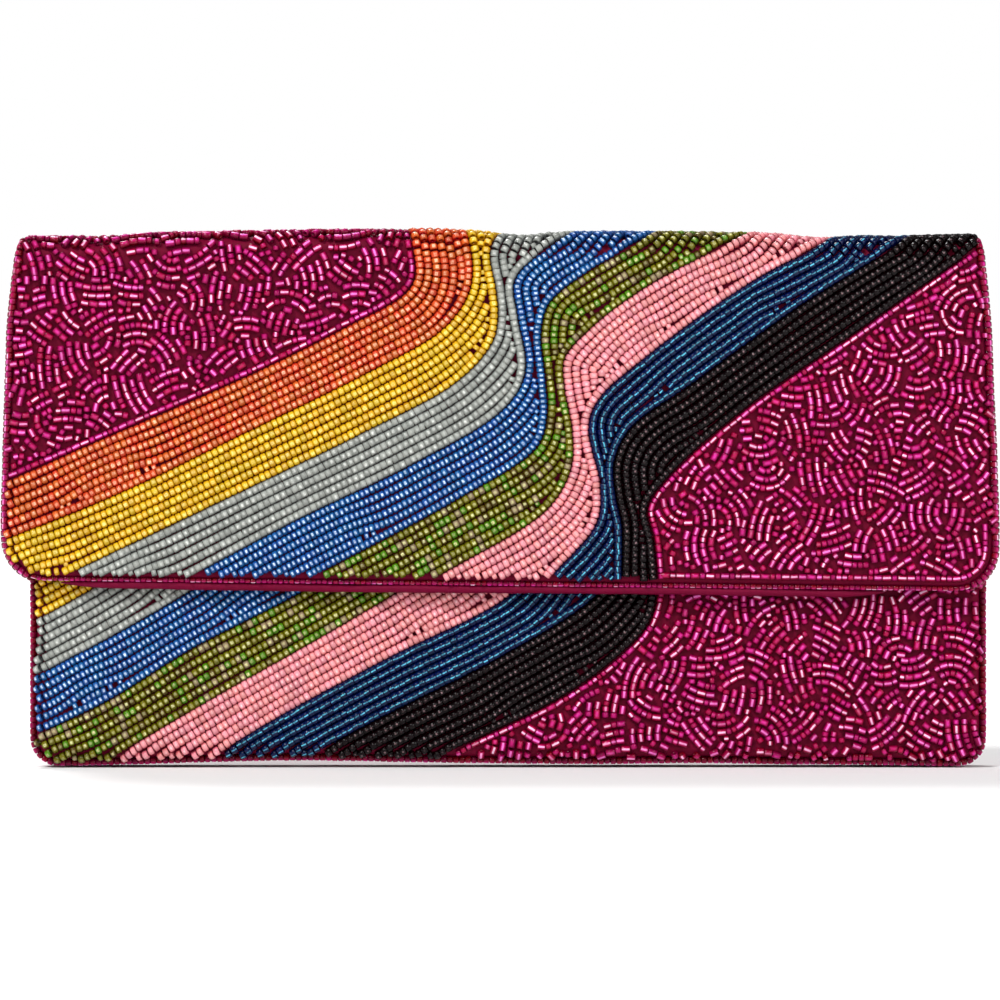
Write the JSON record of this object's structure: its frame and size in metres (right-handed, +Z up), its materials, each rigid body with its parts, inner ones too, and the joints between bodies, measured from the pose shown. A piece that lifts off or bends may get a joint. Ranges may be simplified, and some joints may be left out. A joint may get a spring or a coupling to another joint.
{
  "type": "clutch purse",
  "caption": "Flat envelope clutch purse covered in glass bead embroidery, with a wide fold-over flap, coloured wavy stripes and a magnetic snap.",
  "frame": {"origin": "under the middle of the purse, on the surface that it stands on", "axes": "+Z up, the front with the flap faces -Y, +X to the right seen from the front"},
  "size_m": [0.254, 0.028, 0.137],
  "materials": {
    "magenta_beads": "silver-lined glass seed and short cut beads",
    "orange_beads": "transparent glass seed beads",
    "yellow_beads": "silver-lined glass seed beads",
    "grey_beads": "opaque glass seed beads",
    "blue_beads": "lustred glass seed beads",
    "green_beads": "rainbow-coated glass seed beads",
    "pink_beads": "opaque glass seed beads",
    "teal_beads": "silver-lined cut glass beads",
    "black_beads": "opaque glass seed beads",
    "satin": "satin weave",
    "lining": "plain weave lining",
    "board": "grey board",
    "nickel": "nickel plate",
    "magnet": "bare ferrite"
  },
  "bodies": {
    "body": {"front_fabric": "satin", "front_board": "board", "front_lining": "lining", "mouth_binding": "satin", "back_fabric": "satin", "back_board": "board", "back_lining": "lining", "gusset_left": "satin", "gusset_right": "satin", "base_fabric": "satin", "base_board": "board", "gusset_lining": "lining", "slip_pocket": "lining", "front_beads_yellow": "yellow_beads", "front_beads_grey": "grey_beads", "front_beads_blue": "blue_beads", "front_beads_green": "green_beads", "front_beads_pink": "pink_beads", "front_beads_teal": "teal_beads", "front_beads_black": "black_beads", "front_beads_magenta": "magenta_beads", "front_edge_beads": "magenta_beads", "back_beads": "magenta_beads", "back_edge_beads": "magenta_beads", "snap_socket": "nickel", "snap_magnet": "magnet", "snap_socket_washer": "nickel"},
    "top_strip": {"strip_beads": "magenta_beads", "strip_fabric": "satin", "strip_lining": "lining", "back_fold_fabric": "satin"},
    "flap": {"front_fold_fabric": "satin", "flap_fabric": "satin", "flap_board": "board", "flap_lining": "lining", "flap_beads_magenta_left": "magenta_beads", "flap_beads_orange": "orange_beads", "flap_beads_yellow": "yellow_beads", "flap_beads_grey": "grey_beads", "flap_beads_blue": "blue_beads", "flap_beads_green": "green_beads", "flap_beads_pink": "pink_beads", "flap_beads_teal": "teal_beads", "flap_beads_black": "black_beads", "flap_beads_magenta_right": "magenta_beads", "flap_edge_beads": "magenta_beads", "flap_piping": "satin", "snap_stud": "nickel", "snap_stud_washer": "nickel"}
  },
  "joints": [
    {"name": "back_fold", "type": "hinge", "parent": "body", "child": "top_strip", "pos_m": [0, 0.0112, 0.1342], "axis": [-1, 0, 0], "range_deg": [0, 90], "deforming": ["back_fold_fabric"]},
    {"name": "front_fold", "type": "hinge", "parent": "top_strip", "child": "flap", "pos_m": [0, -0.0112, 0.1342], "axis": [-1, 0, 0], "range_deg": [0, 90], "deforming": ["front_fold_fabric"]}
  ]
}
